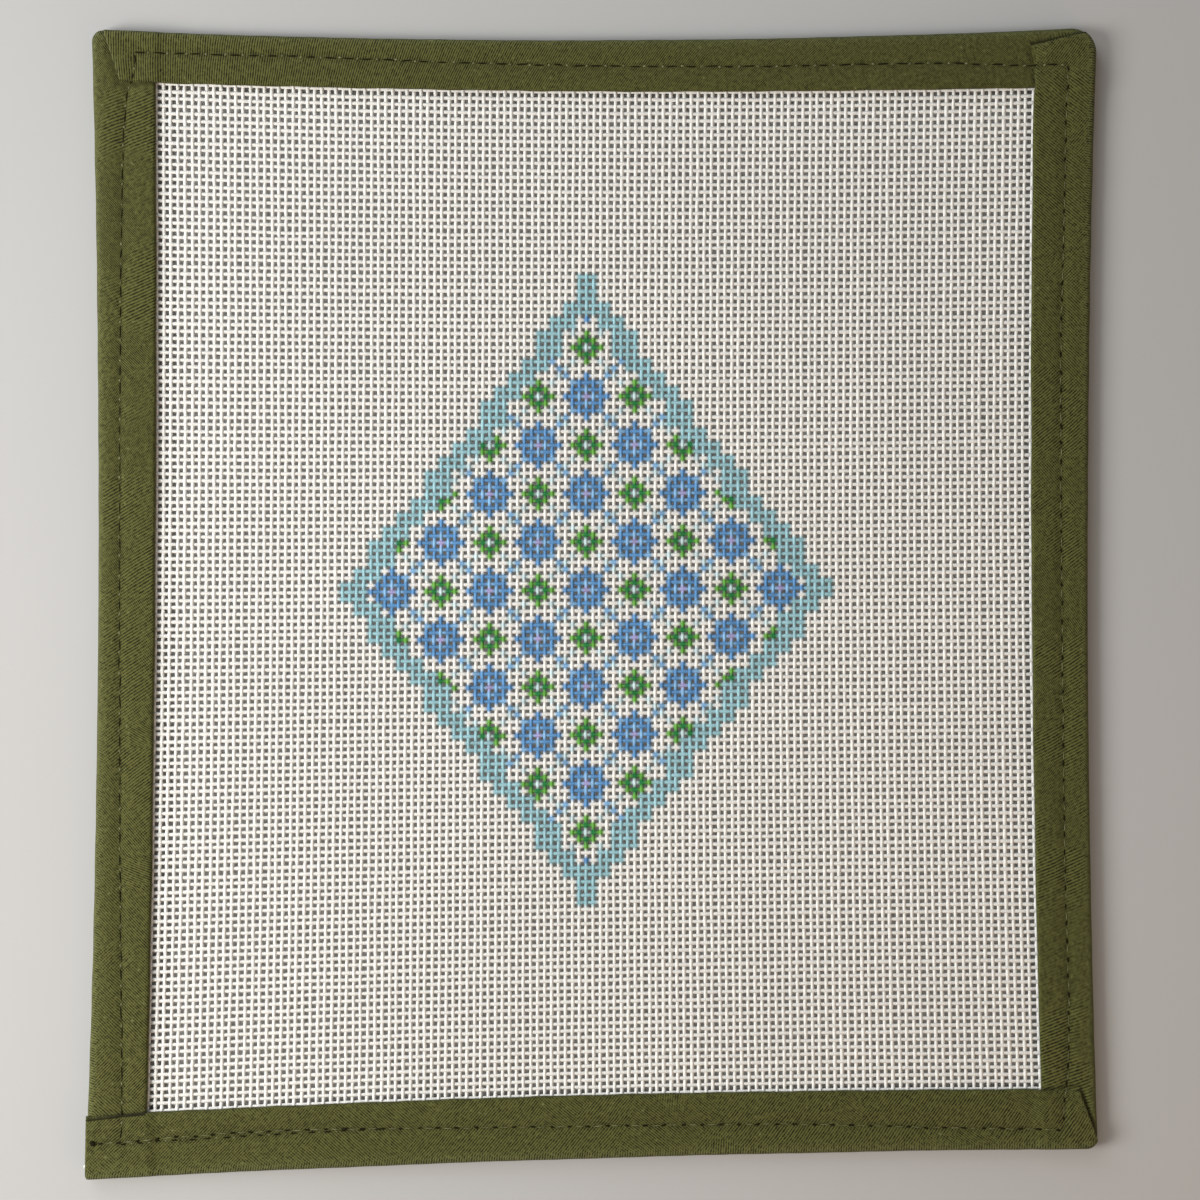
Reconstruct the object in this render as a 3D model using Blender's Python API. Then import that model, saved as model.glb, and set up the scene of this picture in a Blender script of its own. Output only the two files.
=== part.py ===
"""Needlepoint canvas panel: a flat sheet of open-mesh canvas, bound all round with folded tape.

Metres, +Z up. The panel lies flat, painted face up, with its underside at z = 0 and the
origin under the middle of its outline. X runs across it and Y runs up the design.
"""
import math

import bmesh
import bpy
from mathutils import Vector

MM = 0.001

# The sheet and the tape, through the thickness
PLY = 1.0 * MM                  # one ply of the tape
CANVAS = 1.0 * MM               # the canvas
GAP = 0.3 * MM                  # between the canvas and each ply
THICKNESS = 2 * PLY + 2 * GAP + CANVAS

# The tape, across its width
TAPE_WIDTH = 12.0 * MM          # what shows of it on each face, before the corners vary it
FOLD_WALL = 1.0 * MM            # the tape where it turns round the canvas's edge
FOLD_ROUND = 1.2 * MM           # how far in from the edge the fold's rounding starts
CANVAS_INSET = 1.7 * MM         # from the outer edge of the fold to the canvas's cut edge

# Corners anticlockwise from the lower left, and the side that runs on from each of them:
# x and y, the corner's radius, and how far the side's middle is pulled inwards
OUTER = (
    # x,          y,            radius,      bow of the next side
    (-101.3 * MM, -115.2 * MM, 0.8 * MM, 1.1 * MM),     # lower left, then the bottom side
    (101.3 * MM, -109.0 * MM, 2.4 * MM, 1.8 * MM),      # lower right, then the right side
    (101.0 * MM, 115.2 * MM, 5.0 * MM, 2.2 * MM),       # upper right, then the top side
    (-100.0 * MM, 114.9 * MM, 2.4 * MM, 1.9 * MM),      # upper left, then the left side
)
INNER = (
    # x,         y,            radius,      bow of the next side
    (-88.9 * MM, -101.6 * MM, 0.5 * MM, 1.1 * MM),
    (89.9 * MM, -97.0 * MM, 0.5 * MM, 1.2 * MM),
    (88.5 * MM, 103.2 * MM, 0.5 * MM, 1.2 * MM),
    (-87.2 * MM, 104.2 * MM, 0.5 * MM, 0.8 * MM),
)
SIDE_STEPS = 16
CORNER_STEPS = 5

CANVAS_COLOUR = (0.84, 0.82, 0.76, 1.0)
BINDING_COLOUR = (0.075, 0.073, 0.026, 1.0)


def clear_scene():
    """Remove whatever objects the file holds."""
    for leftover in list(bpy.data.objects):
        bpy.data.objects.remove(leftover, do_unlink=True)


def fabric(name, colour, roughness):
    """A plain cloth finish."""
    material = bpy.data.materials.new(name)
    material.use_nodes = True
    shader = material.node_tree.nodes["Principled BSDF"]
    shader.inputs["Base Color"].default_value = colour
    shader.inputs["Roughness"].default_value = roughness
    shader.inputs["Metallic"].default_value = 0.0
    return material


def corner_arc(before, corner, after, radius):
    """Points on the arc of that radius that touches both straight lines out of a corner."""
    to_before = (before - corner).normalized()
    to_after = (after - corner).normalized()
    half_angle = to_before.angle(to_after) / 2
    centre = corner + (to_before + to_after).normalized() * radius / math.sin(half_angle)
    start = corner + to_before * radius / math.tan(half_angle) - centre
    sweep = math.pi - 2 * half_angle
    points = []
    for step in range(CORNER_STEPS + 1):
        turn = sweep * step / CORNER_STEPS
        points.append(centre + Vector((start.x * math.cos(turn) - start.y * math.sin(turn),
                                       start.x * math.sin(turn) + start.y * math.cos(turn))))
    return points


def outline(corners):
    """A closed, anticlockwise outline: an arc at each corner, and sides that bow inwards."""
    places = [Vector((x, y)) for x, y, radius, bow in corners]
    count = len(places)
    arcs = [corner_arc(places[i - 1], places[i], places[(i + 1) % count], corners[i][2])
            for i in range(count)]
    points = []
    for index, arc in enumerate(arcs):
        points.extend(arc)
        start = arc[-1]
        end = arcs[(index + 1) % count][0]
        along = (end - start).normalized()
        inwards = Vector((-along.y, along.x))
        bow = corners[index][3]
        for step in range(1, SIDE_STEPS):
            part = step / SIDE_STEPS
            points.append(start.lerp(end, part) + inwards * bow * 4 * part * (1 - part))
    return points


def between(inner, outer, inset):
    """The outline that lies inset from the outer one, in parts of the tape's width."""
    share = inset / TAPE_WIDTH
    return [far.lerp(near, share) for near, far in zip(inner, outer)]


def add_object(name, bm, material):
    """Put a mesh into the scene as one named object."""
    bmesh.ops.recalc_face_normals(bm, faces=bm.faces)
    mesh = bpy.data.meshes.new(name)
    bm.to_mesh(mesh)
    bm.free()
    mesh.materials.append(material)
    piece = bpy.data.objects.new(name, mesh)
    bpy.context.scene.collection.objects.link(piece)
    return piece


def make_canvas(inner, outer):
    """The canvas: a flat sheet whose cut edge lies inside the tape's fold."""
    bottom = PLY + GAP
    bm = bmesh.new()
    ring = [bm.verts.new((p.x, p.y, bottom)) for p in between(inner, outer, CANVAS_INSET)]
    sheet = bm.faces.new(ring)
    raised = bmesh.ops.extrude_face_region(bm, geom=[sheet])
    top = [part for part in raised["geom"] if isinstance(part, bmesh.types.BMVert)]
    bmesh.ops.translate(bm, verts=top, vec=(0, 0, CANVAS))
    return add_object("canvas", bm, fabric("canvas_white", CANVAS_COLOUR, 0.85))


def tape_section():
    """The tape's section, once round: inset from the outer edge, and height.

    It goes out along the underside, round the fold, back along the top face, and returns
    inside the fold, so that the canvas's edge has its gap on three sides.
    """
    middle = THICKNESS / 2
    shoulder = 0.3 * MM
    inner_corner = 0.35 * MM
    return [
        (TAPE_WIDTH, 0.0),
        (FOLD_ROUND, 0.0),
        (shoulder, 0.55 * MM),
        (0.0, middle),
        (shoulder, THICKNESS - 0.55 * MM),
        (FOLD_ROUND, THICKNESS),
        (TAPE_WIDTH, THICKNESS),
        (TAPE_WIDTH, THICKNESS - PLY),
        (FOLD_WALL + inner_corner, THICKNESS - PLY),
        (FOLD_WALL, middle),
        (FOLD_WALL + inner_corner, PLY),
        (TAPE_WIDTH, PLY),
    ]


def make_binding(inner, outer):
    """The tape: its folded section carried round the panel in one closed loop."""
    bm = bmesh.new()
    rings = []
    for inset, height in tape_section():
        places = between(inner, outer, inset)
        rings.append([bm.verts.new((p.x, p.y, height)) for p in places])
    stations = len(rings[0])
    for index, ring in enumerate(rings):
        following = rings[(index + 1) % len(rings)]
        for here in range(stations):
            there = (here + 1) % stations
            bm.faces.new((ring[here], ring[there], following[there], following[here]))
    return add_object("binding", bm, fabric("binding_olive", BINDING_COLOUR, 0.9))


def main():
    clear_scene()
    inner = outline(INNER)
    outer = outline(OUTER)
    make_canvas(inner, outer)
    make_binding(inner, outer)


main()
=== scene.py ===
# %% [markdown]
# # A needlepoint canvas panel
#
# This notebook gives a small needlepoint canvas its looks. The real thing is a stiff white mesh of
# cotton threads, woven one over, one under, eighteen to the inch, with a design painted on its face.
# Its cut edges are bound with folded olive tape, mitred at three corners and lapped at the fourth,
# and a line of machine stitches holds the tape.
#
# The frame comes first: it is the plain model, and everything here is placed by it. Its box is kept.

import bpy
import numpy as np
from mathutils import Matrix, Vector
from mathutils.bvhtree import BVHTree


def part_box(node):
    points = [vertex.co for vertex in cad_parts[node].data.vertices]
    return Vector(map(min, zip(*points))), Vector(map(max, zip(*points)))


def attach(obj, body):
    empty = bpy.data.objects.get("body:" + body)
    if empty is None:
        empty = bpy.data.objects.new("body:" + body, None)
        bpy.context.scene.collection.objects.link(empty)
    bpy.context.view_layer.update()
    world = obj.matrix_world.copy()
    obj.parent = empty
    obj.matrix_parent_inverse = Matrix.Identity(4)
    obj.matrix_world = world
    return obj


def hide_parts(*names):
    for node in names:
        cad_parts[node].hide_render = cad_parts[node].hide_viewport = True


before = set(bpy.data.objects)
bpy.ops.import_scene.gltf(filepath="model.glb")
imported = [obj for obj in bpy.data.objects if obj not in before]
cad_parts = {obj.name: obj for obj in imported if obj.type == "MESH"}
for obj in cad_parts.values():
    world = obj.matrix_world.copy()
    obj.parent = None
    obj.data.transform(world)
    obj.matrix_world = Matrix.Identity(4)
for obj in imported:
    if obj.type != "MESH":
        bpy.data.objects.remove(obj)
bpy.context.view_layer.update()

MM = 0.001
binding_low, binding_high = (np.array(corner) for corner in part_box("binding"))
canvas_low, canvas_high = (np.array(corner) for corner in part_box("canvas"))
print("panel", np.round((binding_high - binding_low) / MM, 1), "mm")

# %% [markdown]
# ## The outline
#
# A panel cut and bound by hand isn't a true rectangle. Its corners are a little out of place and its
# sides are drawn in by the stitching, so each side is a shallow bow. One function gives every such
# side: a straight way from corner to corner, plus a parabola that is nothing at the ends. The sides
# run clockwise from the lower left corner, as the tape was sewn on.

# %% Corners and sides
SIDES = ("left", "top", "right", "bottom")
# Each side's first corner, in millimetres, and how far the side's middle is drawn in
OUTER_CORNER = {"left": (-101.3, -115.2), "top": (-100.0, 114.9),
                "right": (101.0, 115.2), "bottom": (101.3, -109.0)}
INNER_CORNER = {"left": (-88.9, -101.6), "top": (-87.2, 104.2),
                "right": (88.5, 103.2), "bottom": (89.9, -97.0)}
OUTER_BOW = {"left": 1.9, "top": 2.2, "right": 1.8, "bottom": 1.1}
INNER_BOW = {"left": 0.8, "top": 1.2, "right": 1.2, "bottom": 1.1}
CORNER_RADIUS = {"left": 0.8, "top": 2.4, "right": 5.0, "bottom": 2.4}


def following(side):
    """The next side, clockwise."""
    return SIDES[(SIDES.index(side) + 1) % len(SIDES)]


def bowed(start, end, bow, share):
    """Start, plus share of the way to the end, plus 4 share (1 - share) bow to the way's right."""
    start, end = np.array(start, float), np.array(end, float)
    share = np.asarray(share, float)[..., None]
    way = end - start
    right = np.array((way[1], -way[0])) / np.hypot(*way)
    return start + share * way + 4 * share * (1 - share) * bow * right


def inner_side(side, share):
    """Points along one side of the window, in millimetres."""
    return bowed(INNER_CORNER[side], INNER_CORNER[following(side)], INNER_BOW[side], share)


def smooth_step(x):
    """0 up to x = 0, 1 from x = 1, and 3 x^2 - 2 x^3 between."""
    x = np.clip(x, 0, 1)
    return x * x * (3 - 2 * x)


print("window", INNER_CORNER)

# %% [markdown]
# ## Meshes from arrays
#
# Every piece below is worked out as whole numpy arrays: points on a grid, and the quads between
# them. One helper turns such arrays into an object. Its origin stays at the world's origin, so that
# patterns on Object coordinates are in true metres.

# %% Arrays to an object
def add_piece(name, points, quads, material, more_faces=()):
    """An object from points in metres and quads of point numbers, shaded smooth."""
    mesh = bpy.data.meshes.new(name)
    faces = np.asarray(quads).tolist() + [list(face) for face in more_faces]
    mesh.from_pydata(np.asarray(points, float).reshape(-1, 3), [], faces)
    mesh.polygons.foreach_set("use_smooth", np.ones(len(mesh.polygons), bool))
    mesh.materials.append(material)
    mesh.update()
    piece = bpy.data.objects.new(name, mesh)
    bpy.context.scene.collection.objects.link(piece)
    return piece


def tube_quads(tubes, rings, around):
    """Quads of several tubes whose points are numbered tube by tube, ring by ring."""
    number = np.arange(tubes * rings * around).reshape(tubes, rings, around)
    here, there = number[:, :-1], number[:, 1:]
    turned = [np.roll(part, -1, axis=2) for part in (here, there)]
    return np.stack([here, turned[0], turned[1], there], axis=-1).reshape(-1, 4)


def tube_caps(tubes, rings, around):
    """The faces that close both ends of each tube."""
    number = np.arange(tubes * rings * around).reshape(tubes, rings, around)
    return [*number[:, 0, ::-1].tolist(), *number[:, -1].tolist()]


def add_vertex_colour(piece, name, colours):
    """A colour for each point, which its material reads by name."""
    layer = piece.data.color_attributes.new(name, "FLOAT_COLOR", "POINT")
    four = np.ones((len(piece.data.vertices), 4), np.float32)
    four[:, :3] = np.asarray(colours).reshape(-1, 3)
    layer.data.foreach_set("color", four.ravel())


def add_vertex_value(piece, name, values):
    """A number for each point, which its material reads by name."""
    layer = piece.data.attributes.new(name, "FLOAT", "POINT")
    layer.data.foreach_set("value", np.asarray(values, np.float32).ravel())


def add_map(piece, name, places):
    """A UV map that gives each point one place."""
    corners = np.empty(len(piece.data.loops), np.int32)
    piece.data.loops.foreach_get("vertex_index", corners)
    layer = piece.data.uv_layers.new(name=name, do_init=False)
    layer.uv.foreach_set("vector", np.asarray(places, np.float32).reshape(-1, 2)[corners].ravel())


# %% [markdown]
# ## Finishes
#
# Materials are built by a few small helpers, so that each finish below reads as a recipe. A value
# that is the same all over goes straight on the shader's own socket.

# %% Node helpers
def new_finish(name, roughness, specular=0.3, sheen=0.0):
    """A Principled material, its node tree and its shader."""
    material = bpy.data.materials.new(name)
    material.use_nodes = True
    shader = material.node_tree.nodes["Principled BSDF"]
    shader.inputs["Roughness"].default_value = roughness
    shader.inputs["Specular IOR Level"].default_value = specular
    shader.inputs["Sheen Weight"].default_value = sheen
    shader.inputs["Sheen Roughness"].default_value = 0.6
    return material, material.node_tree, shader


def add_node(tree, kind, **settings):
    """A node of that kind with its plain properties set."""
    node = tree.nodes.new(kind)
    for key, value in settings.items():
        setattr(node, key, value)
    return node


def object_place(tree):
    """Where a point is on its object, in metres."""
    return add_node(tree, "ShaderNodeTexCoord").outputs["Object"]


def parts_of(tree, vector):
    """A vector's X and Y."""
    node = add_node(tree, "ShaderNodeSeparateXYZ")
    tree.links.new(vector, node.inputs[0])
    return node.outputs[0], node.outputs[1]


def mapped(tree, name):
    """A map's two numbers: how far along, and how far across or around."""
    return parts_of(tree, add_node(tree, "ShaderNodeUVMap", uv_map=name).outputs["UV"])


def kept(tree, name):
    """A number kept on each point."""
    return add_node(tree, "ShaderNodeAttribute", attribute_name=name).outputs["Fac"]


def put(tree, value, socket):
    """Link an output to the socket, or set the socket to a number or a colour."""
    if isinstance(value, bpy.types.NodeSocket):
        tree.links.new(value, socket)
    else:
        socket.default_value = value


def maths(tree, operation, first, second=0.0, third=0.0):
    """A Math node's result."""
    node = add_node(tree, "ShaderNodeMath", operation=operation)
    for socket, value in zip(node.inputs, (first, second, third)):
        put(tree, value, socket)
    return node.outputs[0]


def blend_colours(tree, share, first, second, how="MIX"):
    """Two colours blended by share."""
    node = add_node(tree, "ShaderNodeMix", data_type="RGBA", blend_type=how)
    for name, value in (("Factor_Float", share), ("A_Color", first), ("B_Color", second)):
        socket = next(s for s in node.inputs if s.identifier == name)
        put(tree, value, socket)
    return next(s for s in node.outputs if s.identifier == "Result_Color")


def noise(tree, where, scale, detail=2.0):
    """Soft noise from 0 to 1, scale features to the metre."""
    node = add_node(tree, "ShaderNodeTexNoise")
    put(tree, where, node.inputs["Vector"])
    node.inputs["Scale"].default_value = scale
    node.inputs["Detail"].default_value = detail
    return node.outputs["Fac"]


def spread(tree, value, low, high, new_low=0.0, new_high=1.0):
    """Value carried from low..high to new_low..new_high, and held there."""
    node = add_node(tree, "ShaderNodeMapRange", interpolation_type="SMOOTHSTEP")
    for socket, number in zip(node.inputs, (value, low, high, new_low, new_high)):
        put(tree, number, socket)
    return node.outputs[0]


def bump(tree, height, depth, shader, strength=1.0):
    """A bump as deep as depth, in metres, where height is from 0 to 1."""
    node = add_node(tree, "ShaderNodeBump")
    node.inputs["Strength"].default_value = strength
    node.inputs["Distance"].default_value = depth
    tree.links.new(height, node.inputs["Height"])
    tree.links.new(node.outputs["Normal"], shader.inputs["Normal"])


print("helpers ready")

# %% [markdown]
# ## The canvas thread's finish
#
# Canvas thread is matt cotton stiffened with size. Its colour comes from a colour kept on each point,
# white where it is bare and the paint's where it is painted, because paint follows the threads and
# stops between them. The twist of its plies shows only close to, as a fine slanting bump.

# %% Canvas thread finish
THREAD_TWIST = 0.42 * MM        # from one ridge of the twist to the next, along the thread

canvas_finish, tree, shader = new_finish("canvas_white", 0.78, specular=0.25)
paint = add_node(tree, "ShaderNodeAttribute", attribute_name="paint")
place = object_place(tree)
mottle = spread(tree, noise(tree, place, 900), 0.3, 0.7, 0.90, 1.0)
drift = spread(tree, noise(tree, place, 22), 0.3, 0.7, 0.96, 1.0)
shade = add_node(tree, "ShaderNodeCombineColor")
for channel in shade.inputs:
    tree.links.new(maths(tree, "MULTIPLY", mottle, drift), channel)
tinted = blend_colours(tree, 1.0, paint.outputs["Color"], shade.outputs["Color"], "MULTIPLY")
tree.links.new(tinted, shader.inputs["Base Color"])
along, around = mapped(tree, "thread_run")
turns = maths(tree, "ADD", maths(tree, "MULTIPLY", along, 1 / THREAD_TWIST), around)
ridges = maths(tree, "SINE", maths(tree, "MULTIPLY", turns, 2 * np.pi))
bump(tree, maths(tree, "MULTIPLY_ADD", ridges, 0.5, 0.5), 0.03 * MM, shader, 0.6)
print("finish", canvas_finish.name)

# %% [markdown]
# ## Where the threads lie
#
# The window's four sides are bowed, and the threads follow them: the outer ones bend with the tape
# and the middle ones run nearly straight. A Coons patch does exactly this. It blends the left side
# into the right one and the bottom into the top, and takes away the plain four-cornered blend that
# would otherwise be counted twice. The mesh is also a little closer in the middle than at the edges.

# %% The mesh's grid
COLUMNS = 124                   # thread spaces across the window
ROWS = 143                      # thread spaces up it
UNDER_TAPE = 2                  # thread spaces that run on under the tape, on each side
CROWDING = (0.0040, 0.0030)     # how much the threads close up in the middle, across and up


def mesh_place(column, row):
    """XY in millimetres of a place on the mesh: the Coons patch of the window's four sides.

    With u across and v up: (1 - v) bottom(u) + v top(u) + (1 - u) left(v) + u right(v), less the
    bilinear blend of the four corners.
    """
    u, v = np.broadcast_arrays(column / COLUMNS, row / ROWS)
    u = u + CROWDING[0] * np.sin(2 * np.pi * u)
    v = v + CROWDING[1] * np.sin(2 * np.pi * v)
    sides = ((1 - v)[..., None] * inner_side("bottom", 1 - u) + v[..., None] * inner_side("top", u)
             + (1 - u)[..., None] * inner_side("left", v) + u[..., None] * inner_side("right", 1 - v))
    lower_left, upper_left, upper_right, lower_right = (np.array(INNER_CORNER[s]) for s in SIDES)
    lower = (1 - u)[..., None] * lower_left + u[..., None] * lower_right
    upper = (1 - u)[..., None] * upper_left + u[..., None] * upper_right
    return sides - (1 - v)[..., None] * lower - v[..., None] * upper


corner_gap = np.abs(mesh_place(np.array(0.0), np.array(0.0)) - INNER_CORNER["left"]).max()
print("mesh meets the window's corner to", round(float(corner_gap), 6), "mm")

# %% [markdown]
# ## The painted design
#
# A needlepoint design is painted crossing by crossing, so it is a chart: one colour letter for each
# crossing of the threads. This one is a plain geometric medallion, an upright lozenge with a pale
# blue border. A trellis divides it into diamonds, with an eight-pointed star in each and a small
# green ring wherever the trellis lines cross. Star and ring are small charts, given in full.

# %% Small charts
STAR = ("l..b..l",
        ".lbbbl.",
        ".bblbb.",
        "bblplbb",
        ".bblbb.",
        ".lbbbl.",
        "l..b..l")
RING = ("..g..",
        ".gdg.",
        "gd.dg",
        ".gdg.",
        "..g..")
PAINTS = {
    ".": (0.850, 0.835, 0.800),     # bare canvas
    "a": (0.330, 0.560, 0.620),     # pale blue
    "t": (0.560, 0.690, 0.720),     # paler blue
    "l": (0.240, 0.450, 0.700),     # light blue
    "b": (0.115, 0.290, 0.560),     # mid blue
    "p": (0.400, 0.370, 0.650),     # lilac
    "g": (0.130, 0.370, 0.060),     # leaf green
    "d": (0.020, 0.200, 0.055),     # dark green
}
LETTERS = list(PAINTS)


def stamp(chart, small, column, row):
    """Set a small chart into the large one, centred on a crossing, leaving its bare places alone."""
    codes = np.array([[LETTERS.index(letter) for letter in line] for line in small])
    first_row, first_column = row - codes.shape[0] // 2, column - codes.shape[1] // 2
    place = chart[first_row:first_row + codes.shape[0], first_column:first_column + codes.shape[1]]
    place[codes > 0] = codes[codes > 0]


print("chart letters", LETTERS)

# %% [markdown]
# A lozenge has a simple measure: the share across plus the share up, which is 1 on its outline. The
# border is the crossings where it is between two values, and counting in steps of two spaces gives
# the outline its stairs. The trellis is the crossings where x + y, or x - y, is half a cell more than
# a whole number of cells. Stars and rings then take turns on a grid of half cells.

# %% The medallion
MIDDLE = (61, 72)               # the crossing at the middle of the medallion
HALF_LOZENGE = (35, 44)         # its half-widths, in thread spaces
CELL = 14                       # thread spaces from one trellis line to the next
BORDER = 0.115                  # the border's width, as a share of the half-width


def draw_medallion(chart):
    """The trellis, its stars and rings, cut off by a stepped lozenge with a pale blue border."""
    rows, columns = np.mgrid[:chart.shape[0], :chart.shape[1]]
    across, up = columns - MIDDLE[0], rows - MIDDLE[1]
    lines = ((across + up) % CELL == CELL // 2) | ((across - up) % CELL == CELL // 2)
    chart[lines] = LETTERS.index("t")
    steps = range(-6, 7)
    for i, j in ((i, j) for i in steps for j in steps):
        stamp(chart, STAR if (i + j) % 2 == 0 else RING,
              MIDDLE[0] + i * CELL // 2, MIDDLE[1] + j * CELL // 2)
    measure = np.abs(across) // 2 * 2 / HALF_LOZENGE[0] + np.abs(up) // 2 * 2 / HALF_LOZENGE[1]
    chart[measure > 1 - BORDER] = LETTERS.index("a")
    chart[measure > 1] = LETTERS.index(".")


chart = np.zeros((ROWS + 1, COLUMNS + 1), int)
draw_medallion(chart)
print("painted crossings", int((chart > 0).sum()))

# %% [markdown]
# ## Weaving the threads
#
# Mesh drawn on a flat sheet would look flat from any other side, so these are real threads. Each
# is a five-sided tube, wider than it is deep, that goes over one crossing thread and under the
# next. It has two rings at each crossing, a quarter of a space before and after the middle, so it
# lies flat on the thread it crosses and slants through the hole. Nineteen thousand crossings
# would be too many for round tubes, but smooth shading rounds a five-sided one. Sized canvas is
# pressed nearly flat, so the threads rise and fall less than their own depth.
#
# Hand-made canvas isn't perfect: each thread wanders a little, and its thickness changes. The
# wander is seeded, so the cloth comes out the same each time.

# %% Thread function
THREAD_WIDTH = 0.74 * MM
THREAD_DEPTH = (canvas_high[2] - canvas_low[2]) * 0.42
WEAVE_RISE = THREAD_DEPTH * 0.12        # the threads are pressed into each other where they cross
AROUND = 5
LOW_CORNER = 0.81               # how far a five-sided ring's two lower points hang, as a share of its top
WANDER = 0.038                  # how far threads drift sideways, in thread spaces
OVER_WIDTH, UNDER_WIDTH = 1.04, 0.96    # a thread spreads a little where it lies on top
MIDDLE_HEIGHT = (canvas_high[2] + canvas_low[2]) / 2
UNDERSIDE_PAINT = 0.14          # how much of the paint has soaked through

chance = np.random.default_rng(18)
white = np.array(PAINTS["."])
paint_values = np.array([PAINTS[letter] for letter in LETTERS])
crossing_paint = paint_values[chart]
crossing_paint = crossing_paint * chance.uniform(0.86, 1.08, chart.shape)[..., None]
crossing_paint[chart == 0] = white


def wander(count, samples, size):
    """For each of count threads, a soft sideways drift: three slow waves and a little jitter."""
    along = np.linspace(0, 1, samples)
    drift = chance.normal(0, 0.6, (count, 1)) + chance.normal(0, 0.18, (count, samples))
    for waves in (2, 5, 11):
        phase = chance.uniform(0, 2 * np.pi, (count, 1))
        drift = drift + chance.normal(0, 0.5, (count, 1)) * np.sin(2 * np.pi * waves * along + phase)
    return size * drift


def weave_threads(name, numbers, crossed, upright):
    """Threads of one direction as one piece.

    Ring k of thread n lies at crossing k // 2, a quarter of a space before or after it. Its middle
    is mesh_place(n, that place) at the middle height, plus or minus the rise: plus where n and the
    crossing are both odd or both even for upright threads, and minus for level ones. A ring's
    point at angle t is the middle, plus sideways cos(t) half widths, plus sin(t) half depths up.
    """
    numbers = np.asarray(numbers)
    crossings = np.arange(-UNDER_TAPE, crossed + UNDER_TAPE + 1)
    stops = (crossings[:, None] + np.array((-0.25, 0.25))).ravel()
    at = np.repeat(crossings, 2)
    lanes, places = np.meshgrid(numbers, stops, indexing="ij")
    drift = wander(len(numbers), len(stops), WANDER)
    flat = mesh_place(lanes + drift, places) if upright else mesh_place(places, lanes + drift)
    over = np.where((numbers[:, None] + at[None, :]) % 2 == 0, 1, -1) * (1 if upright else -1)
    middle = np.concatenate([flat * MM, (MIDDLE_HEIGHT + over * WEAVE_RISE)[..., None]], axis=-1)
    way = np.gradient(flat, axis=1)
    way = way / np.linalg.norm(way, axis=-1, keepdims=True)
    sideways = np.stack([way[..., 1], -way[..., 0], np.zeros(way.shape[:2])], axis=-1)
    angle = np.pi / 2 + 2 * np.pi * np.arange(AROUND) / AROUND
    thickness = 1 + chance.normal(0, 0.045, (len(numbers), 1)) + chance.normal(0, 0.03, over.shape)
    half_width = THREAD_WIDTH / 2 * thickness * np.where(over > 0, OVER_WIDTH, UNDER_WIDTH)
    points = (middle[:, :, None] + sideways[:, :, None] * np.cos(angle)[:, None]
              * half_width[..., None, None])
    lift = np.where(np.sin(angle) > 0, np.sin(angle), np.sin(angle) / LOW_CORNER)
    points[..., 2] += THREAD_DEPTH / 2 * lift
    rings = (len(numbers), len(stops), AROUND)
    piece = add_piece(name, points, tube_quads(*rings), canvas_finish, tube_caps(*rings))
    paint_threads(piece, numbers, at, lift, rings, upright)
    map_threads(piece, stops, rings)
    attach(piece, "root")
    return piece


def paint_threads(piece, numbers, at, lift, rings, upright):
    """Each ring takes its crossing's paint, full on its upper side and faint below."""
    lane = np.clip(numbers, 0, (COLUMNS if upright else ROWS))
    stop = np.clip(at, 0, (ROWS if upright else COLUMNS))
    colours = (crossing_paint[stop][:, lane].transpose(1, 0, 2) if upright
               else crossing_paint[lane][:, stop])
    soak = np.where(lift > 0, 1.0, UNDERSIDE_PAINT)[:, None]
    whole = white + (colours[:, :, None] - white) * soak
    add_vertex_colour(piece, "paint", np.broadcast_to(whole, (*rings, 3)))


def map_threads(piece, stops, rings):
    """Two maps: metres along and turns around, and each thread as its own strip of the square."""
    count, samples, around = rings
    pitch = 1.41 * MM
    along = np.broadcast_to((stops * pitch)[None, :, None], rings)
    turn = np.broadcast_to(np.arange(around) / around, rings)
    add_map(piece, "thread_run", np.stack([along, turn], axis=-1))
    across = np.arange(samples)[None, :, None] / (samples - 1) * 0.99 + 0.005
    strip = (np.arange(count)[:, None, None] + 0.08 + 0.84 * np.arange(around) / around) / count
    add_map(piece, "OFBake", np.stack([np.broadcast_to(across, rings),
                                       np.broadcast_to(strip, rings)], axis=-1))


print("thread", round(THREAD_WIDTH / MM, 2), "x", round(THREAD_DEPTH / MM, 2), "mm")

# %% [markdown]
# The upright threads are made in a left and a right half, and the level ones in an upper and a lower
# half, so that no piece is too heavy. Each half is a sheet of cloth laid flat.

# %% Weave the canvas
upright_numbers = np.arange(-UNDER_TAPE, COLUMNS + UNDER_TAPE + 1)
level_numbers = np.arange(-UNDER_TAPE, ROWS + UNDER_TAPE + 1)
half_upright, half_level = len(upright_numbers) // 2, len(level_numbers) // 2
canvas_pieces = [
    weave_threads("canvas_upright_left", upright_numbers[:half_upright], ROWS, True),
    weave_threads("canvas_upright_right", upright_numbers[half_upright:], ROWS, True),
    weave_threads("canvas_level_lower", level_numbers[:half_level], COLUMNS, False),
    weave_threads("canvas_level_upper", level_numbers[half_level:], COLUMNS, False),
]
for piece in canvas_pieces:
    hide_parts("canvas")
    print(piece.name, sum(len(f.vertices) - 2 for f in piece.data.polygons), "triangles")

# %% [markdown]
# ## The outer edge
#
# The tape's outer edge is one closed line: four bowed sides joined by an arc at each corner. It is
# kept as many close points with the length up to each, so that a stretch of it can be asked for by
# length. The strips of tape below each take the stretch between their own ends.

# %% The outer edge by length
EDGE_POINTS = 600
ARC_POINTS = 25


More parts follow.
